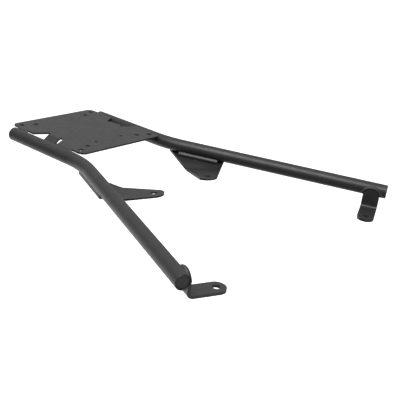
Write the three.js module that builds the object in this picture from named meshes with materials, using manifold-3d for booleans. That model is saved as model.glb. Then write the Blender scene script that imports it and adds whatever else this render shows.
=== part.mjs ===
// Motorcycle rear luggage rack: two bent round rails, a drilled top plate with two folded
// side flanges, two side brackets, two front brackets, four end caps and the weld beads.
// Millimetres, +Z up, +Y towards the front brackets, +X to the right.
// The origin is the middle of the plate's hole pattern, on its top face. The left side mirrors the right.
import * as THREE from "three";
import Module from "manifold-3d";

const GAP = 0.3; // clearance left between touching pieces

// Rails
const TUBE_OD = 20;
const TUBE_WALL = 2;
const RAIL_TRACK = 174.8; // between the axes of the parallel rear runs
const RAIL_REAR_Y = -65;
const BEND_Y = 93.3; // where the two straight axes would meet
const BEND_RADIUS = 140;
const SPLAY = 23.3; // degrees each arm opens outwards
const ARM_DROP = 1.36; // degrees each arm falls
const ARM_LENGTH = 342;
const TUBE_SIDES = 24;
const BEND_STEPS = 10;
const CAP_THICKNESS = 2;
const CAP_RECESS = 1.4;

// Top plate
const PLATE_REAR = -80.5;
const PLATE_FRONT = 82;
const PLATE_THICKNESS = 2.5;
const PLATE_CORNER = 9;
const PLATE_TO_TUBE = 1;
const CORNER_HOLES = { x: 70, y: 68, dia: 8 };
const MIDDLE_HOLES = { x: 50, y: 60, dia: 7.6 };
const SMALL_HOLES = { x: 25.5, y: 51, dia: 5.3 };

// Side cut-outs of the plate and the flanges folded down in them
const CUT_MOUTH = 56;
const CUT_ROOT = 36;
const CUT_DEPTH = 18.5; // from the plate's side edge to the fold
const FLANGE_WIDTH = 24.5;
const FLANGE_ANGLE = 36;
const FOLD_RADIUS = 4;
const RELIEF_DEPTH = 2;

// Side brackets, laid out along the arm (s) and inwards from its axis (w)
const SIDE_THICKNESS = 3;
const SIDE_WEB_ANGLE = 10.7; // degrees the web falls inwards from the rail
const SIDE_SEAT = 0.5; // extra room under the rail, which is still curving at the bracket's rear
const SIDE_OUTER = 7.2; // the plate's outer edge, outside the rail's axis
const SIDE_HOLE = { s: 89, w: 71.8, drop: 11.5, dia: 10 };
const SIDE_TIP = { back: 1.8, out: 0.8, radius: 16 }; // its centre, behind and outside the hole
const SIDE_CREASE = { rear: [47, 42.3], front: [94.5, 20] };

// Front brackets
const STRAP_WIDTH = 24;
const STRAP_THICKNESS = 4;
const STRAP_BEND = 4; // inside radius
const STRAP_BACK = 20.4; // tube end to the middle of the strap
const STRAP_TOP = 2.5; // above the tube axis
const TAB_DROP = 23.9; // tube axis down to the tab's top face
const FRONT_HOLE = { w: 52.6, dia: 10 };

// Weld beads
const SEAM_RISE = 1.6;
const RING_BEAD = 2.2; // radius
const REAR_SEAM = { from: -60, to: -42 };
const FRONT_SEAM = { from: 28, to: 60 };
const SIDE_INNER_SEAM = { from: 20, to: 87, radius: 2.2 };
const SIDE_OUTER_SEAM = { from: 29, to: 88, radius: 0.9 };
const FLANGE_SEAM = 20;

const tubeRadius = TUBE_OD / 2;
const boreRadius = tubeRadius - TUBE_WALL;
const railX = RAIL_TRACK / 2;
const railZ = -tubeRadius - 0.2;
const clearRadius = tubeRadius + GAP;
const DEG = Math.PI / 180;

const wasm = await Module();
wasm.setup();

// ---- closed solids and how they are joined ----

function toSolid(geometry) {
  const flat = geometry.index ? geometry.toNonIndexed() : geometry;
  const mesh = new wasm.Mesh({
    numProp: 3,
    vertProperties: new Float32Array(flat.attributes.position.array),
    triVerts: Uint32Array.from({ length: flat.attributes.position.count }, (_, i) => i),
  });
  mesh.merge();
  return new wasm.Manifold(mesh);
}

function toGeometry(solid) {
  const mesh = solid.getMesh();
  const geometry = new THREE.BufferGeometry();
  const points = new Float32Array(mesh.numVert * 3);
  for (let i = 0; i < mesh.numVert; i++) {
    points.set(mesh.vertProperties.subarray(i * mesh.numProp, i * mesh.numProp + 3), i * 3);
  }
  geometry.setAttribute("position", new THREE.BufferAttribute(points, 3));
  geometry.setIndex(new THREE.BufferAttribute(mesh.triVerts, 1));
  return geometry.toNonIndexed();
}

function join(pieces) {
  return toGeometry(pieces.map(toSolid).reduce((a, b) => a.add(b)));
}

function mirror(geometry) {
  const copy = geometry.index ? geometry.toNonIndexed() : geometry.clone();
  const p = copy.attributes.position;
  for (let i = 0; i < p.count; i += 3) {
    const corners = [i, i + 2, i + 1].map((k) => new THREE.Vector3().fromBufferAttribute(p, k));
    corners.forEach((c, k) => p.setXYZ(i + k, -c.x, c.y, c.z));
  }
  copy.computeVertexNormals();
  return copy;
}

// ---- frames ----

// The right arm's frame: x runs along the arm, y inwards, z up; its origin is the bend vertex.
function armFrame() {
  const along = new THREE.Vector3(
    Math.sin(SPLAY * DEG) * Math.cos(ARM_DROP * DEG),
    Math.cos(SPLAY * DEG) * Math.cos(ARM_DROP * DEG),
    -Math.sin(ARM_DROP * DEG),
  );
  const inwards = new THREE.Vector3(-Math.cos(SPLAY * DEG), Math.sin(SPLAY * DEG), 0);
  const up = new THREE.Vector3().crossVectors(along, inwards);
  return new THREE.Matrix4()
    .makeBasis(along, inwards, up)
    .setPosition(railX, BEND_Y, railZ);
}

const ARM = armFrame();
const armAxis = new THREE.Vector3().setFromMatrixColumn(ARM, 0);
const bendVertex = new THREE.Vector3(railX, BEND_Y, railZ);

// ---- shapes ----

function shapeOf(points) {
  return new THREE.Shape(points.map(([x, y]) => new THREE.Vector2(x, y)));
}

// A polygon whose corners are rounded: each point is [x, y, radius].
function roundedShape(points) {
  const out = [];
  points.forEach(([x, y, radius = 0], i) => {
    const here = new THREE.Vector2(x, y);
    const before = new THREE.Vector2(...points[(i + points.length - 1) % points.length]);
    const after = new THREE.Vector2(...points[(i + 1) % points.length]);
    if (radius === 0) {
      out.push([x, y]);
      return;
    }
    const a = before.sub(here).normalize();
    const b = after.sub(here).normalize();
    const half = Math.acos(a.dot(b)) / 2;
    const centre = a.clone().add(b).normalize().multiplyScalar(radius / Math.sin(half)).add(here);
    const reach = radius / Math.tan(half);
    const start = a.clone().multiplyScalar(reach).add(here).sub(centre).angle();
    const end = b.clone().multiplyScalar(reach).add(here).sub(centre).angle();
    const turn = Math.atan2(Math.sin(end - start), Math.cos(end - start));
    const steps = Math.max(3, Math.ceil(Math.abs(turn) / (15 * DEG)));
    for (let k = 0; k <= steps; k++) {
      const angle = start + (turn * k) / steps;
      out.push([centre.x + radius * Math.cos(angle), centre.y + radius * Math.sin(angle)]);
    }
  });
  return shapeOf(out);
}

function circle(x, y, radius, sides = 24) {
  const points = [];
  for (let i = 0; i < sides; i++) {
    const angle = (2 * Math.PI * i) / sides;
    points.push([x + radius * Math.cos(angle), y + radius * Math.sin(angle)]);
  }
  return shapeOf(points);
}

function extrude(shape, depth) {
  return new THREE.ExtrudeGeometry(shape, { depth, bevelEnabled: false, steps: 1 });
}

// ---- rails ----

// A rail's axis: a straight run, one arc, a straight run. Each run is one step long.
class RailAxis extends THREE.Curve {
  constructor() {
    super();
    this.rearwards = new THREE.Vector3(0, -1, 0);
    const bend = Math.acos(armAxis.y);
    this.tangent = BEND_RADIUS * Math.tan(bend / 2);
    this.start = bendVertex.clone().addScaledVector(this.rearwards, this.tangent);
    this.bend = bend;
    const turn = armAxis.clone().addScaledVector(new THREE.Vector3(0, 1, 0), -armAxis.y);
    this.sideways = turn.normalize();
  }
  place(u) {
    const step = u * (BEND_STEPS + 2);
    const forwards = new THREE.Vector3(0, 1, 0);
    if (step < 1) {
      const rear = new THREE.Vector3(railX, RAIL_REAR_Y, railZ);
      return [rear.lerp(this.start, step), forwards];
    }
    if (step > BEND_STEPS + 1) {
      const from = bendVertex.clone().addScaledVector(armAxis, this.tangent);
      const to = bendVertex.clone().addScaledVector(armAxis, ARM_LENGTH);
      return [from.lerp(to, step - BEND_STEPS - 1), armAxis.clone()];
    }
    const angle = (this.bend * (step - 1)) / BEND_STEPS;
    const point = this.start.clone();
    point.addScaledVector(forwards, BEND_RADIUS * Math.sin(angle));
    point.addScaledVector(this.sideways, BEND_RADIUS * (1 - Math.cos(angle)));
    const tangent = forwards.multiplyScalar(Math.cos(angle));
    return [point, tangent.addScaledVector(this.sideways, Math.sin(angle))];
  }
  getPoint(u) {
    return this.place(u)[0];
  }
  getPointAt(u) {
    return this.place(u)[0];
  }
  getTangentAt(u) {
    return this.place(u)[1];
  }
  getSpacedPoints(steps) {
    return Array.from({ length: steps + 1 }, (_, i) => this.place(i / steps)[0]);
  }
}

const railAxis = new RailAxis();

function rail() {
  const ring = circle(0, 0, tubeRadius, TUBE_SIDES);
  ring.holes.push(circle(0, 0, boreRadius, TUBE_SIDES));
  return new THREE.ExtrudeGeometry(ring, {
    steps: BEND_STEPS + 2,
    bevelEnabled: false,
    extrudePath: railAxis,
  });
}

// A disc inside the bore; `inset` is from the bore's end to the disc's outer face.
function rearCap() {
  const disc = extrude(circle(0, 0, boreRadius - GAP), CAP_THICKNESS);
  disc.rotateX(-Math.PI / 2);
  return disc.translate(railX, RAIL_REAR_Y + CAP_RECESS, railZ);
}

function frontCap() {
  const disc = extrude(circle(0, 0, boreRadius - GAP), CAP_THICKNESS);
  disc.rotateY(Math.PI / 2);
  disc.translate(ARM_LENGTH - CAP_RECESS - CAP_THICKNESS, 0, 0);
  return disc.applyMatrix4(ARM);
}

// ---- top plate ----

// Where the flange folds down: the root of the cut-out.
function foldX() {
  return plateHalfWidth() - CUT_DEPTH;
}

// Half the plate's width, set by where its lower edge comes near the round rail.
function plateHalfWidth() {
  const reach = tubeRadius + PLATE_TO_TUBE;
  const rise = -PLATE_THICKNESS - railZ;
  return railX - Math.sqrt(reach * reach - rise * rise);
}

function rightEdge(half) {
  const mouth = CUT_MOUTH / 2;
  const root = CUT_ROOT / 2;
  const flange = FLANGE_WIDTH / 2;
  const lower = [
    [half, -mouth, 1.5],
    [foldX(), -root, 0],
    [foldX() - RELIEF_DEPTH, -root, 1],
    [foldX() - RELIEF_DEPTH, -flange, 1],
    [foldX(), -flange, 0],
  ];
  const upper = lower.map(([x, y, r]) => [x, -y, r]).reverse();
  const rear = [half, PLATE_REAR, PLATE_CORNER];
  const front = [half, PLATE_FRONT, PLATE_CORNER];
  return [rear, ...lower, ...upper, front];
}

// The folded flange: an arc then a straight run down to the rail.
function flange() {
  const angle = FLANGE_ANGLE * DEG;
  const outer = [];
  const inner = [];
  for (let i = 0; i <= 4; i++) {
    const a = (angle * i) / 4;
    outer.push([foldX() + (FOLD_RADIUS + PLATE_THICKNESS) * Math.sin(a), outerZ(a, PLATE_THICKNESS)]);
    inner.push([foldX() + FOLD_RADIUS * Math.sin(a), outerZ(a, 0)]);
  }
  const length = flangeRun(outer.at(-1), inner.at(-1), angle);
  const step = [length * Math.cos(angle), -length * Math.sin(angle)];
  outer.push([outer.at(-1)[0] + step[0], outer.at(-1)[1] + step[1]]);
  inner.push([inner.at(-1)[0] + step[0], inner.at(-1)[1] + step[1]]);
  const start = [[foldX() - 0.5, -PLATE_THICKNESS], [foldX() - 0.5, 0]];
  const profile = shapeOf([start[0], ...inner, ...outer.reverse(), start[1]]);
  const solid = extrude(profile, FLANGE_WIDTH);
  solid.translate(0, 0, -FLANGE_WIDTH / 2);
  return solid.rotateX(Math.PI / 2);
}

function outerZ(angle, skin) {
  const centre = -PLATE_THICKNESS - FOLD_RADIUS;
  return centre + (FOLD_RADIUS + skin) * Math.cos(angle);
}

// How far the straight run goes before either corner of its end meets the rail's clearance.
function flangeRun(top, bottom, angle) {
  const reach = ([x, z]) => {
    const dx = x - railX;
    const dz = z - railZ;
    const along = dx * Math.cos(angle) - dz * Math.sin(angle);
    const rest = along * along - (dx * dx + dz * dz - clearRadius * clearRadius);
    return rest > 0 ? -along - Math.sqrt(rest) : -along;
  };
  return Math.min(reach(top), reach(bottom));
}

function topPlate() {
  const half = plateHalfWidth();
  const right = rightEdge(half);
  const left = right.map(([x, y, r]) => [-x, y, r]).reverse();
  const outline = roundedShape(right.concat(left));
  const add = (x, y, dia) => outline.holes.push(circle(x, y, dia / 2, 32));
  for (const side of [-1, 1]) {
    for (const end of [-1, 1]) {
      add(side * CORNER_HOLES.x, end * CORNER_HOLES.y, CORNER_HOLES.dia);
      add(side * MIDDLE_HOLES.x, end * MIDDLE_HOLES.y, MIDDLE_HOLES.dia);
    }
    add(side * SMALL_HOLES.x, SMALL_HOLES.y, SMALL_HOLES.dia);
  }
  const sheet = extrude(outline, PLATE_THICKNESS).translate(0, 0, -PLATE_THICKNESS);
  return join([sheet, flange(), mirror(flange())]);
}

// ---- side bracket ----

// The sheet's top face: the web falls inwards from the rail and the pad rises again to its hole.
function webHeight(w) {
  const angle = SIDE_WEB_ANGLE * DEG;
  return -(clearRadius + SIDE_SEAT) / Math.cos(angle) - w * Math.tan(angle);
}

function padPlane() {
  const point = (s, w, h) => new THREE.Vector3(s, w, h);
  const corners = [SIDE_CREASE.rear, SIDE_CREASE.front].map(([s, w]) => point(s, w, webHeight(w)));
  const hole = point(SIDE_HOLE.s, SIDE_HOLE.w, -SIDE_HOLE.drop);
  return new THREE.Plane().setFromCoplanarPoints(...corners, hole);
}

function sideHeight(s, w) {
  const { normal, constant } = padPlane();
  const pad = -(constant + normal.x * s + normal.y * w) / normal.z;
  return Math.max(webHeight(w), pad);
}

function liftToSheet(geometry) {
  const p = geometry.attributes.position;
  for (let i = 0; i < p.count; i++) {
    p.setZ(i, p.getZ(i) + sideHeight(p.getX(i), p.getY(i)));
  }
  return geometry;
}

function sidePad() {
  const { s, w, dia } = SIDE_HOLE;
  const tip = [];
  for (let i = 0; i <= 8; i++) {
    const angle = (-10 + i * 15) * DEG;
    tip.push([
      s - SIDE_TIP.back + SIDE_TIP.radius * Math.cos(angle),
      w - SIDE_TIP.out + SIDE_TIP.radius * Math.sin(angle),
    ]);
  }
  const shape = roundedShape([SIDE_CREASE.rear, SIDE_CREASE.front, ...tip]);
  shape.holes.push(circle(s, w, dia / 2));
  return liftToSheet(extrude(shape, SIDE_THICKNESS).translate(0, 0, -SIDE_THICKNESS));
}

function sideWeb() {
  const shape = roundedShape([
    [1, -SIDE_OUTER, 1.5],
    [92, -SIDE_OUTER, 2],
    SIDE_CREASE.front,
    SIDE_CREASE.rear,
    [4, -3, 2],
  ]);
  return liftToSheet(extrude(shape, SIDE_THICKNESS).translate(0, 0, -SIDE_THICKNESS));
}

function sideBracket() {
  return join([sidePad(), sideWeb()]).applyMatrix4(ARM);
}

// ---- front bracket ----

function frontBracket() {
  const half = STRAP_WIDTH / 2;
  const middle = ARM_LENGTH - STRAP_BACK;
  const outside = STRAP_BEND + STRAP_THICKNESS;
  const face = clearRadius;
  const strapFoot = -TAB_DROP + STRAP_BEND;
  const strap = extrude(halfRound(half, strapFoot - 0.2, STRAP_TOP - half), STRAP_THICKNESS);
  strap.rotateX(Math.PI / 2).translate(0, face + STRAP_THICKNESS, 0);
  const tabShape = halfRound(half, face + outside - 0.2, FRONT_HOLE.w);
  tabShape.holes.push(circle(0, FRONT_HOLE.w, FRONT_HOLE.dia / 2));
  const tab = extrude(tabShape, STRAP_THICKNESS).translate(0, 0, -TAB_DROP - STRAP_THICKNESS);
  const arc = [];
  for (let i = 0; i <= 6; i++) {
    const a = (Math.PI / 2) * (i / 6);
    arc.push([face + outside - Math.cos(a) * outside, strapFoot - Math.sin(a) * outside]);
  }
  for (let i = 6; i >= 0; i--) {
    const a = (Math.PI / 2) * (i / 6);
    arc.push([face + outside - Math.cos(a) * STRAP_BEND, strapFoot - Math.sin(a) * STRAP_BEND]);
  }
  const elbow = extrude(shapeOf(arc), STRAP_WIDTH);
  elbow.rotateX(Math.PI / 2).rotateZ(Math.PI / 2).translate(-half, 0, 0);
  const solid = join([strap, tab, elbow]);
  return solid.translate(middle, 0, 0).applyMatrix4(ARM);
}

// A strip of width 2*half from y=`from` to y=`centre`, with a half-round end.
function halfRound(half, from, centre) {
  const points = [[half, from]];
  for (let i = 0; i <= 14; i++) {
    const angle = (Math.PI * i) / 14;
    points.push([half * Math.cos(angle), centre + half * Math.sin(angle)]);
  }
  points.push([-half, from]);
  return shapeOf(points);
}

// ---- weld beads ----

// The bead between the plate's straight edge and the rail, as a section extruded along the rail.
function seamBead({ from, to }) {
  const edge = plateHalfWidth() + GAP;
  const start = Math.acos((edge - railX) / clearRadius);
  const stop = start - 26 * DEG;
  const points = [];
  for (let i = 0; i <= 4; i++) {
    const a = start + ((stop - start) * i) / 4;
    points.push([railX + clearRadius * Math.cos(a), railZ + clearRadius * Math.sin(a)]);
  }
  const end = points.at(-1);
  for (let i = 1; i <= 5; i++) {
    const t = i / 6;
    const bulge = SEAM_RISE * Math.sin(Math.PI * t);
    points.push([end[0] + (edge - end[0]) * t, end[1] + (0 - end[1]) * t + bulge]);
  }
  points.push([edge, 0]);
  return extrude(shapeOf(points), to - from).rotateX(Math.PI / 2).translate(0, to, 0);
}

// A round-ended rod, used for the fillet beads.
function rod(radius, length) {
  const profile = [];
  for (let i = 0; i <= 4; i++) {
    const a = (Math.PI / 2) * (i / 4);
    profile.push(new THREE.Vector2(radius * Math.sin(a), -length / 2 + radius * (1 - Math.cos(a))));
  }
  for (let i = 4; i >= 0; i--) {
    const a = (Math.PI / 2) * (i / 4);
    profile.push(new THREE.Vector2(radius * Math.sin(a), length / 2 - radius * (1 - Math.cos(a))));
  }
  profile[0].x = 0;
  profile.at(-1).x = 0;
  return new THREE.LatheGeometry(profile, 12);
}

// Where a circle of radius r touches both the rail and a straight line below or beside it.
function flangeBead() {
  const r = 2;
  const angle = FLANGE_ANGLE * DEG;
  const skin = PLATE_THICKNESS;
  const onLine = [foldX() + (FOLD_RADIUS + skin) * Math.sin(angle), outerZ(angle, skin)];
  const normal = [Math.sin(angle), Math.cos(angle)];
  const base = [onLine[0] + normal[0] * (r + GAP), onLine[1] + normal[1] * (r + GAP)];
  const dx = base[0] - railX;
  const dz = base[1] - railZ;
  const away = clearRadius + r;
  const along = dx * Math.cos(angle) - dz * Math.sin(angle);
  const run = -along - Math.sqrt(along * along - (dx * dx + dz * dz - away * away));
  const x = base[0] + run * Math.cos(angle);
  const z = base[1] - run * Math.sin(angle);
  return rod(r, FLANGE_SEAM).translate(x, 0, z);
}

// A bead in the groove between the rail's underside and the side bracket's web.
function grooveBead(side, { from, to, radius }) {
  const down = clearRadius + SIDE_SEAT - radius - GAP;
  const away = clearRadius + radius;
  const across = Math.sqrt(away * away - down * down);
  const bead = rod(radius, to - from).rotateZ(-Math.PI / 2);
  bead.translate((from + to) / 2, side * across, -down);
  return bead.rotateX(-SIDE_WEB_ANGLE * DEG).applyMatrix4(ARM);
}

class RingPath extends THREE.Curve {
  constructor(radius, from, to) {
    super();
    Object.assign(this, { radius, from, to });
  }
  getPoint(t) {
    const a = this.from + (this.to - this.from) * t;
    return new THREE.Vector3(this.radius * Math.cos(a), 0, this.radius * Math.sin(a));
  }
}

// The bead round the rounded top of a front bracket, lying against the rail's inner side.
function ringBead() {
  const radius = STRAP_WIDTH / 2 + GAP + RING_BEAD;
  const path = new RingPath(radius, 12 * DEG, 168 * DEG);
  const bead = new THREE.ExtrudeGeometry(circle(0, 0, RING_BEAD, 10), {
    steps: 16,
    bevelEnabled: false,
    extrudePath: path,
  });
  const centre = STRAP_TOP - STRAP_WIDTH / 2;
  const inwards = clearRadius + RING_BEAD + 0.1;
  bead.translate(ARM_LENGTH - STRAP_BACK, inwards, centre);
  return bead.applyMatrix4(ARM);
}

// ---- the group ----

const group = new THREE.Group();
group.name = "luggage_rack";

function put(name, geometry, color, roughness) {
  const material = new THREE.MeshStandardMaterial({ color, roughness, metalness: 0.1 });
  const mesh = new THREE.Mesh(geometry, material);
  mesh.name = name;
  group.add(mesh);
}

function putPair(name, geometry, color, roughness) {
  put("right_" + name, geometry, color, roughness);
  put("left_" + name, mirror(geometry), color, roughness);
}

put("top_plate", topPlate(), 0x2b2c2d, 0.55);
putPair("rail", rail(), 0x262728, 0.5);
putPair("rear_cap", rearCap(), 0x232425, 0.55);
putPair("front_cap", frontCap(), 0x232425, 0.55);
putPair("side_bracket", sideBracket(), 0x292a2b, 0.55);
putPair("front_bracket", frontBracket(), 0x292a2b, 0.55);
putPair("plate_rear_weld", seamBead(REAR_SEAM), 0x303132, 0.5);
putPair("plate_front_weld", seamBead(FRONT_SEAM), 0x303132, 0.5);
putPair("flange_weld", flangeBead(), 0x303132, 0.5);
putPair("side_outer_weld", grooveBead(-1, SIDE_OUTER_SEAM), 0x303132, 0.5);
putPair("side_inner_weld", grooveBead(1, SIDE_INNER_SEAM), 0x303132, 0.5);
putPair("front_ring_weld", ringBead(), 0x303132, 0.5);

export default group;
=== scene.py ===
# %% [markdown]
# # A motorcycle's rear luggage rack
# The rack is one welding: two bent round rails, a drilled plate between them, four brackets, and
# the beads of weld that join them, all under one coat of satin black powder.
# We keep the CAD model as the frame and rebuild each visible piece with finer edges and curves.

# %% Load the frame
import math

import bpy
from mathutils import Matrix, Vector


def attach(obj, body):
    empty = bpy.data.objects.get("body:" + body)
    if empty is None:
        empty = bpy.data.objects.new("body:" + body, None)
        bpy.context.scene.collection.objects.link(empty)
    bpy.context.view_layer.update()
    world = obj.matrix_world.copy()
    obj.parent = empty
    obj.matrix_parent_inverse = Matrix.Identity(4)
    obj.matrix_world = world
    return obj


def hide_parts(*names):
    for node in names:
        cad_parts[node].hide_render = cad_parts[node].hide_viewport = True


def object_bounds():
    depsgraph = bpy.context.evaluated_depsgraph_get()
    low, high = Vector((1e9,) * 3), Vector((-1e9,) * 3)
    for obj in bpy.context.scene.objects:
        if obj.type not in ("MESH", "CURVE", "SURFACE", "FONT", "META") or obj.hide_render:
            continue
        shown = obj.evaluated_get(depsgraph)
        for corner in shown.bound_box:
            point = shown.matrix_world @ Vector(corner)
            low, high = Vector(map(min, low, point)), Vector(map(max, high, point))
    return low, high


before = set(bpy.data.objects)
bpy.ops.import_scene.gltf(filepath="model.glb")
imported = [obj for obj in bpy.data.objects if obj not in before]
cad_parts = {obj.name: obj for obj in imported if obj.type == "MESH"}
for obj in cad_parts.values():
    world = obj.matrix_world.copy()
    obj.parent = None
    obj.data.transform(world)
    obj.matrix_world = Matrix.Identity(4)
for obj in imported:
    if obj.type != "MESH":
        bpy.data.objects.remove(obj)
cad_low, cad_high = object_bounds()
print("CAD box in mm:", [round(1000 * (b - a), 1) for a, b in zip(cad_low, cad_high)])

# %% [markdown]
# ## Sizes
# These are the sizes of the real rack in metres. +Y points to the front brackets, +X to the right
# and +Z up, and the plate's top face is at height zero. The right half is modelled and mirrored.

# %% Sizes of the rails and the arm's direction
MM = 0.001
TUBE_RADIUS = 10 * MM
TUBE_WALL = 2 * MM
RAIL_X = 87.4 * MM
RAIL_Z = -10.2 * MM
RAIL_REAR_Y = -65 * MM
BEND_Y = 93.3 * MM
BEND_RADIUS = 140 * MM
ARM_LENGTH = 342 * MM
SPLAY = math.radians(23.3)
ARM_DROP = math.radians(1.36)

FORWARDS = Vector((0, 1, 0))
arm_axis = Vector((
    math.sin(SPLAY) * math.cos(ARM_DROP),
    math.cos(SPLAY) * math.cos(ARM_DROP),
    -math.sin(ARM_DROP),
))
inwards = Vector((-math.cos(SPLAY), math.sin(SPLAY), 0))
arm_up = arm_axis.cross(inwards)
bend_vertex = Vector((RAIL_X, BEND_Y, RAIL_Z))
print("arm points along", [round(v, 3) for v in arm_axis])


def arm_matrix(s=0.0, w=0.0, h=0.0):
    """A frame on the right arm: x along it, y inwards and z up, moved by (s, w, h)."""
    turn = Matrix((arm_axis, inwards, arm_up)).transposed().to_4x4()
    return Matrix.Translation(bend_vertex) @ turn @ Matrix.Translation((s, w, h))


# %% [markdown]
# ## Helpers
# Operators act on whatever is selected, so each helper first deselects everything.
# A finished piece has its place baked into its mesh, rides on the rack's one body, takes the
# finish of a material slot and hides the CAD node it stands for.


# %% Selecting, applying and finishing a piece
def select_only(piece):
    """Goes back to object mode and selects this piece alone."""
    if bpy.context.mode != "OBJECT":
        bpy.ops.object.mode_set(mode="OBJECT")
    bpy.ops.object.select_all(action="DESELECT")
    piece.select_set(True)
    bpy.context.view_layer.objects.active = piece


def bake_place(piece, matrix=None):
    """Moves the piece's place into its mesh and leaves the object at the origin."""
    select_only(piece)
    if matrix is not None:
        piece.matrix_world = matrix @ piece.matrix_world
    bpy.ops.object.transform_apply(location=True, rotation=True, scale=True)


def add_modifier(piece, kind, **settings):
    """Adds a modifier, sets it up and applies it."""
    select_only(piece)
    modifier = piece.modifiers.new(kind.lower(), kind)
    for key, value in settings.items():
        setattr(modifier, key, value)
    bpy.ops.object.modifier_apply(modifier=modifier.name)


def soften_edges(piece, width, segments=3, angle=35):
    """Rounds the sharp edges as a thick coat of powder does, and shades the rest smoothly."""
    add_modifier(
        piece, "BEVEL", width=width, segments=segments, limit_method="ANGLE",
        angle_limit=math.radians(angle), use_clamp_overlap=True,
    )
    select_only(piece)
    bpy.ops.object.shade_smooth_by_angle(angle=math.radians(angle))


def mirrored(piece, name):
    """A copy with its own mesh, mirrored to the left side."""
    select_only(piece)
    bpy.ops.object.duplicate()
    copy = bpy.context.object
    copy.name = name
    bpy.ops.object.mode_set(mode="EDIT")
    bpy.ops.mesh.select_all(action="SELECT")
    bpy.ops.transform.resize(value=(-1, 1, 1), center_override=(0, 0, 0))
    bpy.ops.mesh.flip_normals()
    bpy.ops.object.mode_set(mode="OBJECT")
    return copy


def open_edges(piece):
    """Counts the edges that don't join exactly two faces: a closed shell has none."""
    uses = {}
    for face in piece.data.polygons:
        for key in face.edge_keys:
            uses[key] = uses.get(key, 0) + 1
    return sum(count != 2 for count in uses.values())


LARGE_FACE_WEIGHT = 80
pieces = {}


def keep(piece, name, node, slot):
    """Large faces decide the normals, so flat metal stays flat right up to its rounded edge."""
    add_modifier(piece, "WEIGHTED_NORMAL", keep_sharp=True, weight=LARGE_FACE_WEIGHT)
    piece.name = name
    piece.data.name = name
    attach(piece, "root")
    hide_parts(node)
    pieces.setdefault(slot, []).append(piece)


def keep_pair(piece, name, node, slot):
    """Keeps the right piece and its mirrored twin, each for its own CAD node."""
    twin = mirrored(piece, "left_" + name)
    keep(piece, "right_" + name, "right_" + node, slot)
    keep(twin, "left_" + name, "left_" + node, slot)
    faces = len(piece.data.polygons)
    print(name, "has", faces, "faces a side and", open_edges(piece), "open edges")


# %% [markdown]
# ## The rails
# A tube bender leaves a straight run, a true arc and another straight run. We draw the end circle
# and move it the same way: extrude, spin about the bend's centre, extrude. Solidify then gives
# the tube its wall on the inside, and a small bevel takes the sawn rim's edge off.

# %% Sweep the outside of the right rail
TUBE_SIDES = 64
BEND_STEPS = 24
RIM_BEVEL = 0.85 * MM

bend_angle = math.acos(arm_axis.y)
tangent = BEND_RADIUS * math.tan(bend_angle / 2)
sideways = (arm_axis - FORWARDS * arm_axis.y).normalized()
bend_start = bend_vertex - FORWARDS * tangent
bend_centre = bend_start + sideways * BEND_RADIUS
spin_axis = FORWARDS.cross(arm_axis).normalized()

rail_rear = Vector((RAIL_X, RAIL_REAR_Y, RAIL_Z))
bpy.ops.object.select_all(action="DESELECT")
bpy.ops.mesh.primitive_circle_add(
    vertices=TUBE_SIDES, radius=TUBE_RADIUS, location=rail_rear, rotation=(math.pi / 2, 0, 0)
)
rail = bpy.context.object
bake_place(rail)
bpy.ops.object.mode_set(mode="EDIT")
bpy.ops.mesh.select_all(action="SELECT")
bpy.ops.mesh.extrude_region_move(
    TRANSFORM_OT_translate={"value": bend_start - rail_rear}
)
bpy.ops.mesh.spin(steps=BEND_STEPS, angle=-bend_angle, center=bend_centre, axis=spin_axis)
bpy.ops.mesh.extrude_region_move(
    TRANSFORM_OT_translate={"value": arm_axis * (ARM_LENGTH - tangent)}
)
bpy.ops.object.mode_set(mode="OBJECT")
arm_end = bend_vertex + arm_axis * ARM_LENGTH
to_end = [(v.co - arm_end).length for v in rail.data.vertices]
reach = max(distance for distance in to_end if distance < 2 * TUBE_RADIUS)
print("front end is", round(1000 * reach, 2), "mm round its axis, and should be 10")


# %% Give the rail its wall
def outward_facing(piece, middle):
    """Turns the faces round when the first one points towards the given middle."""
    face = piece.data.polygons[0]
    if face.normal.dot(face.center - middle) < 0:
        select_only(piece)
        bpy.ops.object.mode_set(mode="EDIT")
        bpy.ops.mesh.select_all(action="SELECT")
        bpy.ops.mesh.flip_normals()
        bpy.ops.object.mode_set(mode="OBJECT")


select_only(rail)
bpy.ops.object.mode_set(mode="EDIT")
bpy.ops.mesh.select_all(action="SELECT")
bpy.ops.mesh.normals_make_consistent(inside=False)
bpy.ops.object.mode_set(mode="OBJECT")
first = rail.data.polygons[0].center
outward_facing(rail, Vector((RAIL_X, first.y, RAIL_Z)))
add_modifier(rail, "SOLIDIFY", thickness=TUBE_WALL, offset=-1, use_even_offset=True)
soften_edges(rail, RIM_BEVEL, segments=5, angle=50)
keep_pair(rail, "bent_tube", "rail", "rail_coat")

# %% [markdown]
# ## The end caps
# Each tube end is closed by a disc set a little way in. A cylinder starts it, an inset makes the
# flat middle, and moving that in gives the shallow dish that pressing leaves.

# %% Rear and front discs
CAP_RADIUS = 7.9 * MM
CAP_THICKNESS = 2 * MM
CAP_RECESS = 1.4 * MM
CAP_RIM = 1.6 * MM
DISH_SLOPE = 0.8 * MM
DISH_DEPTH = 0.4 * MM
CAP_BEVEL = 0.3 * MM


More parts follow.
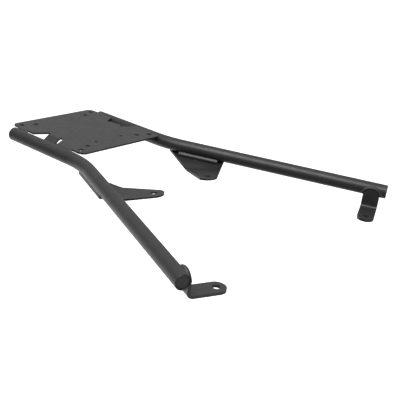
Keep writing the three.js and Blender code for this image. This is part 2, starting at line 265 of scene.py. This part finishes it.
def end_cap(outside, direction):
    """A dished disc whose outer face is at `outside` and looks along `direction`."""
    turn = direction.to_track_quat("Z", "Y").to_euler()
    middle = outside - direction * CAP_THICKNESS / 2
    bpy.ops.object.select_all(action="DESELECT")
    bpy.ops.mesh.primitive_cylinder_add(
        vertices=48, radius=CAP_RADIUS, depth=CAP_THICKNESS, location=middle, rotation=turn
    )
    cap = bpy.context.object
    bake_place(cap)
    bpy.ops.object.mode_set(mode="EDIT")
    bpy.ops.mesh.select_mode(type="FACE")
    bpy.ops.mesh.select_all(action="DESELECT")
    bpy.ops.object.mode_set(mode="OBJECT")
    for face in cap.data.polygons:
        face.select = face.normal.dot(direction) > 0.9
    bpy.ops.object.mode_set(mode="EDIT")
    bpy.ops.mesh.inset(thickness=CAP_RIM)
    bpy.ops.mesh.inset(thickness=DISH_SLOPE, depth=-DISH_DEPTH)
    bpy.ops.object.mode_set(mode="OBJECT")
    soften_edges(cap, CAP_BEVEL)
    return cap


rear_face = rail_rear + FORWARDS * CAP_RECESS
keep_pair(end_cap(rear_face, -FORWARDS), "rear_disc", "rear_cap", "cap_coat")
front_face = arm_end - arm_axis * CAP_RECESS
keep_pair(end_cap(front_face, arm_axis), "front_disc", "front_cap", "cap_coat")

# %% [markdown]
# ## The plate and the brackets
# These are laser-cut sheet, and the CAD already holds their outlines, holes and folds. We copy
# each CAD mesh, merge its loose triangles, dissolve the flat ones into whole faces, and round
# every cut edge by a fraction of a millimetre, which is what makes sheet metal read as metal.

# %% A finer copy of a CAD node
PLATE_BEVEL = 0.25 * MM
SIDE_BEVEL = 0.4 * MM
FRONT_BEVEL = 0.9 * MM


def sheet_copy(node, name):
    """Copies a CAD node's mesh into a new object, with its flat areas as whole faces."""
    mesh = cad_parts[node].data.copy()
    piece = bpy.data.objects.new(name, mesh)
    bpy.context.scene.collection.objects.link(piece)
    mesh.materials.clear()
    select_only(piece)
    bpy.ops.object.mode_set(mode="EDIT")
    bpy.ops.mesh.select_mode(type="VERT")
    bpy.ops.mesh.select_all(action="SELECT")
    bpy.ops.mesh.remove_doubles(threshold=0.02 * MM)
    bpy.ops.mesh.dissolve_limited(angle_limit=math.radians(1))
    bpy.ops.object.mode_set(mode="OBJECT")
    return piece


# %% Top plate
plate = sheet_copy("top_plate", "plate")
soften_edges(plate, PLATE_BEVEL)
keep(plate, "case_plate", "top_plate", "plate_coat")
print("plate box in mm:", [round(1000 * v, 1) for v in plate.dimensions])

# %% [markdown]
# The side bracket is bent along one line, so that its tip lies level again. A press leaves a soft
# bend, so the crease's two edges are found by their place and bevelled widely. The crease's two
# ends are given along the arm and inwards from it.

# %% Side brackets with a soft bend
CREASE_REAR = Vector((47 * MM, 42.3 * MM))
CREASE_FRONT = Vector((94.5 * MM, 20 * MM))
CREASE_REACH = 0.8 * MM
SHORTEST_CREASE = 20 * MM
BEND_WIDTH = 6 * MM
BEND_SEGMENTS = 8


def soften_crease(piece):
    """Bevels the edges that run between the crease's two ends, on both faces of the sheet."""
    to_arm = arm_matrix().inverted()
    places = [(to_arm @ v.co).to_2d() for v in piece.data.vertices]

    def on_crease(index):
        crease_ends = (CREASE_REAR, CREASE_FRONT)
        return any((places[index] - end).length < CREASE_REACH for end in crease_ends)

    bpy.ops.object.mode_set(mode="EDIT")
    bpy.ops.mesh.select_mode(type="EDGE")
    bpy.ops.mesh.select_all(action="DESELECT")
    bpy.ops.object.mode_set(mode="OBJECT")
    found = 0
    for edge in piece.data.edges:
        ends = [on_crease(i) for i in edge.vertices]
        run = (places[edge.vertices[0]] - places[edge.vertices[1]]).length
        edge.select = all(ends) and run > SHORTEST_CREASE
        found += edge.select
    print("crease edges found:", found)
    bpy.ops.object.mode_set(mode="EDIT")
    bpy.ops.mesh.bevel(
        offset=BEND_WIDTH, segments=BEND_SEGMENTS, affect="EDGES", clamp_overlap=True
    )
    bpy.ops.object.mode_set(mode="OBJECT")


side_bracket = sheet_copy("right_side_bracket", "side_bracket")
soften_crease(side_bracket)
soften_edges(side_bracket, SIDE_BEVEL)
keep_pair(side_bracket, "side_tongue", "side_bracket", "bracket_coat")

# %% Front brackets
front_bracket = sheet_copy("right_front_bracket", "front_bracket")
soften_edges(front_bracket, FRONT_BEVEL, segments=5)
keep_pair(front_bracket, "front_strap", "front_bracket", "bracket_coat")

# %% [markdown]
# ## The weld beads
# A weld freezes as a row of overlapping puddles. One puddle is a flattened ball; an array lays
# it along the seam, and a voxel remesh melts the row into one skin with a ripple at each step.

# %% Straight beads
PUDDLE_STEP = 1.6 * MM
PUDDLE_REACH = 1.25
VOXEL = 0.4 * MM


def puddle(width, height):
    """One puddle of weld metal, longer than the step to the next, so that they overlap."""
    bpy.ops.object.select_all(action="DESELECT")
    bpy.ops.mesh.primitive_uv_sphere_add(segments=20, ring_count=12, radius=1)
    ball = bpy.context.object
    ball.scale = (PUDDLE_STEP * PUDDLE_REACH, width / 2, height / 2)
    bake_place(ball)
    return ball


def melt(bead, place):
    """Turns a row of puddles into one skin, eases its ripples and puts it in place."""
    add_modifier(bead, "REMESH", mode="VOXEL", voxel_size=VOXEL, use_smooth_shade=True)
    add_modifier(bead, "SMOOTH", factor=0.5, iterations=2)
    bake_place(bead, place)
    return bead


def straight_bead(length, width, height, place):
    """A bead along x from 0 to `length`, moved by the matrix `place`."""
    bead = puddle(width, height)
    count = max(2, round(length / PUDDLE_STEP))
    add_modifier(
        bead, "ARRAY", count=count, use_relative_offset=False, use_constant_offset=True,
        constant_offset_displace=(length / (count - 1), 0, 0),
    )
    return melt(bead, place)


def along_rail(x, y, z, lean=0.0):
    """x runs forwards along the straight rear part of the rail, leaned about it."""
    turn = Matrix.Rotation(math.pi / 2, 4, "Z") @ Matrix.Rotation(lean, 4, "X")
    return Matrix.Translation((x, y, z)) @ turn


def along_arm(s, w, h, lean=0.0):
    """x runs along the arm from (s, w, h) in its own frame, leaned about it."""
    return arm_matrix(s, w, h) @ Matrix.Rotation(lean, 4, "X")


SEAM_X, SEAM_Z = 81.8 * MM, -1.5 * MM
SEAM_LEAN = math.radians(20)
SEAM_WIDTH, SEAM_HEIGHT = 5.2 * MM, 3.6 * MM
INNER_LEAN = math.radians(-45)

STRAIGHT_BEADS = {
    "plate_rear": (17 * MM, SEAM_WIDTH, SEAM_HEIGHT,
                   along_rail(SEAM_X, -59 * MM, SEAM_Z, SEAM_LEAN)),
    "plate_front": (30 * MM, SEAM_WIDTH, SEAM_HEIGHT,
                    along_rail(SEAM_X, 29 * MM, SEAM_Z, SEAM_LEAN)),
    "flange": (19 * MM, 4.6 * MM, 4.2 * MM,
               along_rail(76.4 * MM, -9.5 * MM, -7.2 * MM)),
    "side_inner": (61 * MM, 8.0 * MM, 4.8 * MM,
                   along_arm(23 * MM, 8.1 * MM, -9.4 * MM, INNER_LEAN)),
    "side_outer": (86 * MM, 3.6 * MM, 3.6 * MM,
                   along_arm(4 * MM, -5.4 * MM, -8.9 * MM)),
}
for seam, (length, width, height, place) in STRAIGHT_BEADS.items():
    bead = straight_bead(length, width, height, place)
    keep_pair(bead, seam + "_bead", seam + "_weld", "weld_coat")

# %% [markdown]
# The bead round the front strap's rounded top turns through most of a half circle, so here the
# puddle is spun about the middle of that circle.

# %% Ring beads
STRAP_HALF = 12 * MM
STRAP_MIDDLE = ARM_LENGTH - 20.4 * MM
STRAP_TOP = 2.5 * MM
STRAP_FACE = TUBE_RADIUS + 0.4 * MM
RING_RADIUS = STRAP_HALF + 2.0 * MM
RING_WIDTH = 7.0 * MM
RING_START = math.radians(20)
RING_TURN = math.radians(140)


def ring_bead(width, height):
    """Puddles in an arc over the top of the origin."""
    bead = puddle(width, height)
    start = Vector((RING_RADIUS, 0, 0))
    turn = Matrix.Rotation(-RING_START, 4, "Y") @ Matrix.Translation(start)
    bake_place(bead, turn @ Matrix.Rotation(math.pi / 2, 4, "Y"))
    steps = round(RING_RADIUS * RING_TURN / PUDDLE_STEP)
    bpy.ops.object.mode_set(mode="EDIT")
    bpy.ops.mesh.select_all(action="SELECT")
    bpy.ops.mesh.spin(steps=steps, dupli=True, angle=RING_TURN, center=(0, 0, 0), axis=(0, 1, 0))
    bpy.ops.object.mode_set(mode="OBJECT")
    return bead


ring = ring_bead(RING_WIDTH, RING_WIDTH)
middle = arm_matrix(STRAP_MIDDLE, STRAP_FACE, STRAP_TOP - STRAP_HALF)
keep_pair(melt(ring, middle), "front_ring_bead", "front_ring_weld", "weld_coat")

# %% [markdown]
# ## Powder coat
# Powder melts into a satin skin that is never quite flat: close up it has the fine dimples of
# orange peel. Under raking light the tone drifts a little. A few flecks are painted lighter as
# glints, and the edges are painted lighter as handling wear and as a painted edge highlight.
# Everything is driven by Object coordinates, so the pattern sits still on the metal.

# %% Scales of the patterns, in repeats per metre, and how strongly they show
CLOUD_SCALE = 38
SMEAR_SCALE = 120
EDGE_WEAR_AND_HIGHLIGHT_SCALE = 160
PEEL_SCALE = 950
SPECK_SCALE = 2600
GRAIN_SCALE = 4200
# Flecks of powder are painted lighter still, as painted glints.
SPECK_GLINT_LIGHTER = 2.2
SPECK_SHARE = 0.35
# Edges are painted lighter, as handling wear and as a painted edge highlight.
EDGE_WEAR_AND_HIGHLIGHT_LIGHTER = 2.6
EDGE_REACH = 1.1 * MM
GRAIN_SHARE = 0.25
DIMPLE_STRENGTH = 0.55


# %% The coat's nodes
def powder_coat(name, dark, light, roughness, dimple, edge_wear_and_highlight):
    """dark and light are the tones it drifts between; dimple is the depth of the orange peel."""
    material = bpy.data.materials.new(name)
    material.use_nodes = True
    nodes = material.node_tree.nodes
    link = material.node_tree.links.new
    shader = nodes["Principled BSDF"]
    shader.inputs["Specular IOR Level"].default_value = 0.5
    shader.inputs["IOR"].default_value = 1.5

    place = nodes.new("ShaderNodeTexCoord").outputs["Object"]

    def noise(scale, detail, rough=0.5):
        node = nodes.new("ShaderNodeTexNoise")
        node.inputs["Scale"].default_value = scale
        node.inputs["Detail"].default_value = detail
        node.inputs["Roughness"].default_value = rough
        link(place, node.inputs["Vector"])
        return node.outputs["Fac"]

    def ramp(source, low, high, start, end):
        node = nodes.new("ShaderNodeMapRange")
        node.inputs["From Min"].default_value = low
        node.inputs["From Max"].default_value = high
        node.inputs["To Min"].default_value = start
        node.inputs["To Max"].default_value = end
        link(source, node.inputs["Value"])
        return node.outputs["Result"]

    def blend(factor, first, second):
        node = nodes.new("ShaderNodeMix")
        node.data_type = "RGBA"
        link(factor, node.inputs["Factor"])
        for socket, value in ((node.inputs["A"], first), (node.inputs["B"], second)):
            if isinstance(value, tuple):
                socket.default_value = (*value, 1)
            else:
                link(value, socket)
        return node.outputs["Result"]

    def lighter(times):
        return tuple(times * value for value in light)

    # The tone drifts in clouds, and a few flecks of the powder are painted lighter as glints.
    drift = ramp(noise(CLOUD_SCALE, 4), 0.35, 0.65, 0, 1)
    tone = blend(drift, dark, light)
    glinting_specks = ramp(noise(SPECK_SCALE, 1), 0.62, 0.72, 0, SPECK_SHARE)
    tone = blend(glinting_specks, tone, lighter(SPECK_GLINT_LIGHTER))

    # Near an edge the rounded normal turns away from the true one, and there the coat is painted
    # lighter: partly handling wear, partly a painted edge highlight.
    rounded = nodes.new("ShaderNodeBevel")
    rounded.samples = 6
    rounded.inputs["Radius"].default_value = EDGE_REACH
    turned = nodes.new("ShaderNodeVectorMath")
    turned.operation = "DOT_PRODUCT"
    link(rounded.outputs["Normal"], turned.inputs[0])
    link(nodes.new("ShaderNodeNewGeometry").outputs["Normal"], turned.inputs[1])
    edge_wear_and_highlight_mask = nodes.new("ShaderNodeMath")
    edge_wear_and_highlight_mask.operation = "MULTIPLY"
    link(ramp(turned.outputs["Value"], 0.99, 0.9, 0, edge_wear_and_highlight), edge_wear_and_highlight_mask.inputs[0])
    link(ramp(noise(EDGE_WEAR_AND_HIGHLIGHT_SCALE, 3), 0.4, 0.65, 0.2, 1), edge_wear_and_highlight_mask.inputs[1])
    tone = blend(edge_wear_and_highlight_mask.outputs[0], tone, lighter(EDGE_WEAR_AND_HIGHLIGHT_LIGHTER))
    link(tone, shader.inputs["Base Color"])

    smear = noise(SMEAR_SCALE, 3, 0.6)
    gloss = ramp(smear, 0.3, 0.7, roughness - 0.04, roughness + 0.05)
    link(gloss, shader.inputs["Roughness"])

    # Orange peel with a finer grain on it, as bump only: both are well under 0.1 mm deep.
    height = nodes.new("ShaderNodeMath")
    height.operation = "MULTIPLY_ADD"
    height.inputs[1].default_value = GRAIN_SHARE
    link(noise(GRAIN_SCALE, 1), height.inputs[0])
    link(noise(PEEL_SCALE, 2), height.inputs[2])
    bump = nodes.new("ShaderNodeBump")
    bump.inputs["Strength"].default_value = DIMPLE_STRENGTH
    bump.inputs["Distance"].default_value = dimple
    link(height.outputs[0], bump.inputs["Height"])
    link(bump.outputs["Normal"], shader.inputs["Normal"])
    return material


# %% One coat for each kind of surface
def near_black(value):
    return (value, value, value + 0.001)


# dark tone, light tone, roughness, depth of the orange peel, edge wear and painted edge highlight
COAT_SETTINGS = {
    "plate_coat": (near_black(0.016), near_black(0.021), 0.44, 0.05 * MM, 0.5),
    "rail_coat": (near_black(0.014), near_black(0.019), 0.45, 0.045 * MM, 0.4),
    "bracket_coat": (near_black(0.015), near_black(0.020), 0.42, 0.05 * MM, 0.5),
    "weld_coat": (near_black(0.018), near_black(0.026), 0.38, 0.06 * MM, 0.7),
    "cap_coat": (near_black(0.014), near_black(0.019), 0.42, 0.045 * MM, 0.4),
}
for slot, settings in COAT_SETTINGS.items():
    coat = powder_coat(slot, *settings)
    for piece in pieces[slot]:
        piece.data.materials.clear()
        piece.data.materials.append(coat)
print("coated", sum(map(len, pieces.values())), "pieces")

# %% [markdown]
# ## Floor, light and camera
# The rack is shown floating over a plain white sweep, so the floor lies well below it. The floor
# and the white background are there for the camera alone. What lights the coat is a dim room with
# a lighter ceiling and far wall, two bright cards, and one soft panel overhead as the key. The
# room stays dim behind the camera, which is what lets the black sides stay black.

# %% Floor
FLOOR_DROP = 0.45
FLOOR_SIZE = 30
FLOOR_TONE = 0.9
FLOOR_ROUGHNESS = 0.9
FLOOR_GLOW = 0.75

bpy.ops.object.select_all(action="DESELECT")
floor_height = cad_low.z - FLOOR_DROP
bpy.ops.mesh.primitive_plane_add(size=FLOOR_SIZE, location=(0, 0, floor_height))
floor = bpy.context.object
floor.name = "floor"
floor_paint = bpy.data.materials.new("floor_paint")
floor_paint.use_nodes = True
floor_shader = floor_paint.node_tree.nodes["Principled BSDF"]
floor_shader.inputs["Base Color"].default_value = (FLOOR_TONE, FLOOR_TONE, FLOOR_TONE, 1)
floor_shader.inputs["Roughness"].default_value = FLOOR_ROUGHNESS
floor_shader.inputs["Emission Color"].default_value = (1, 1, 1, 1)
floor_shader.inputs["Emission Strength"].default_value = FLOOR_GLOW
floor.visible_glossy = False
floor.visible_diffuse = False
floor.data.materials.append(floor_paint)

# %% The room's light, which depends on the direction a ray leaves in
UP = Vector((0, 0, 1))
CAMERA_SIDE = Vector((0.782, 0.623, 0.0))
SIDE_CARD_AXIS = Vector((-0.133, -0.754, -0.643))
FRONT_CARD_AXIS = Vector((0, 0.9, -0.44))
FAR_WALL_LIGHT = 0.3
CEILING_LIGHT = 0.27
SIDE_CARD_LIGHT = 1.05
FRONT_CARD_LIGHT = 0.65
ROOM_LIGHT = 0.23
LOW_LIGHT = 0.32

world = bpy.data.worlds.new("studio")
bpy.context.scene.world = world
world.use_nodes = True
room = world.node_tree.nodes
room_link = world.node_tree.links.new
direction = room.new("ShaderNodeTexCoord").outputs["Generated"]


def slope(axis, start, end, low, high):
    """A value that goes smoothly from `low` to `high` as the direction turns along an axis."""
    dot = room.new("ShaderNodeVectorMath")
    dot.operation = "DOT_PRODUCT"
    dot.inputs[1].default_value = axis
    room_link(direction, dot.inputs[0])
    smooth = room.new("ShaderNodeMapRange")
    smooth.interpolation_type = "SMOOTHSTEP"
    sockets = ("From Min", "From Max", "To Min", "To Max")
    for socket, value in zip(sockets, (start, end, low, high)):
        smooth.inputs[socket].default_value = value
    room_link(dot.outputs["Value"], smooth.inputs["Value"])
    return smooth.outputs["Result"]


def combine(operation, first, second):
    """The product ("MULTIPLY") or the sum ("ADD") of two values."""
    node = room.new("ShaderNodeMath")
    node.operation = operation
    room_link(first, node.inputs[0])
    room_link(second, node.inputs[1])
    return node.outputs[0]


ceiling_rise = slope(UP, 0.1, 0.9, 0.0, CEILING_LIGHT)
ceiling_fade = slope(CAMERA_SIDE, 0.9, -0.3, 0.6, 1.0)
parts_of_room = (
    slope(CAMERA_SIDE, 0.35, -0.75, 0.0, FAR_WALL_LIGHT),
    combine("MULTIPLY", ceiling_rise, ceiling_fade),
    slope(SIDE_CARD_AXIS, 0.6, 0.95, 0.0, SIDE_CARD_LIGHT),
    slope(FRONT_CARD_AXIS, 0.7, 0.98, 0.0, FRONT_CARD_LIGHT),
)
brightness = slope(UP, -0.6, -0.9, ROOM_LIGHT, LOW_LIGHT)
for part in parts_of_room:
    brightness = combine("ADD", brightness, part)

lit = room["Background"]
plain = room.new("ShaderNodeBackground")
for background in (lit, plain):
    background.inputs["Color"].default_value = (1, 1, 1, 1)
room_link(brightness, lit.inputs["Strength"])
chosen = room.new("ShaderNodeMixShader")
room_link(room.new("ShaderNodeLightPath").outputs["Is Camera Ray"], chosen.inputs[0])
room_link(lit.outputs[0], chosen.inputs[1])
room_link(plain.outputs[0], chosen.inputs[2])
room_link(chosen.outputs[0], room["World Output"].inputs["Surface"])

# %% Key light, with its azimuth from +Y towards +X
KEY_AZIMUTH = math.radians(78)
KEY_ELEVATION = math.radians(62)
KEY_DISTANCE = 1.8
KEY_WIDTH, KEY_HEIGHT = 1.5, 1.1
KEY_POWER = 36

rack_middle = (cad_low + cad_high) / 2
key_side = math.cos(KEY_ELEVATION)
towards_key = Vector((
    math.sin(KEY_AZIMUTH) * key_side,
    math.cos(KEY_AZIMUTH) * key_side,
    math.sin(KEY_ELEVATION),
))
key_panel = bpy.data.lights.new("key", "AREA")
key_panel.shape = "RECTANGLE"
key_panel.size, key_panel.size_y = KEY_WIDTH, KEY_HEIGHT
key_panel.energy = KEY_POWER
key = bpy.data.objects.new("key", key_panel)
bpy.context.scene.collection.objects.link(key)
key.location = rack_middle + towards_key * KEY_DISTANCE
key.rotation_euler = towards_key.to_track_quat("Z", "Y").to_euler()
key.visible_camera = False

# %% Camera
CAMERA_PLACE = Vector((0.7956, 0.8740, 0.3760))
CAMERA_TARGET = Vector((0.06854, 0.29398, 0.0))
CAMERA_ROLL = math.radians(6.38)
CAMERA_LENS = 71.108
CAMERA_SENSOR = 36

camera_data = bpy.data.cameras.new("camera")
camera_data.lens = CAMERA_LENS
camera_data.sensor_width = CAMERA_SENSOR
camera = bpy.data.objects.new("camera", camera_data)
bpy.context.scene.collection.objects.link(camera)
look = (CAMERA_TARGET - CAMERA_PLACE).normalized()
level = look.cross(UP).normalized()
upright = level.cross(look)
right = level * math.cos(CAMERA_ROLL) + upright * math.sin(CAMERA_ROLL)
top = upright * math.cos(CAMERA_ROLL) - level * math.sin(CAMERA_ROLL)
camera_turn = Matrix((right, top, -look)).transposed().to_4x4()
camera.matrix_world = Matrix.Translation(CAMERA_PLACE) @ camera_turn
bpy.context.scene.camera = camera
bpy.context.scene.view_settings.view_transform = "Standard"
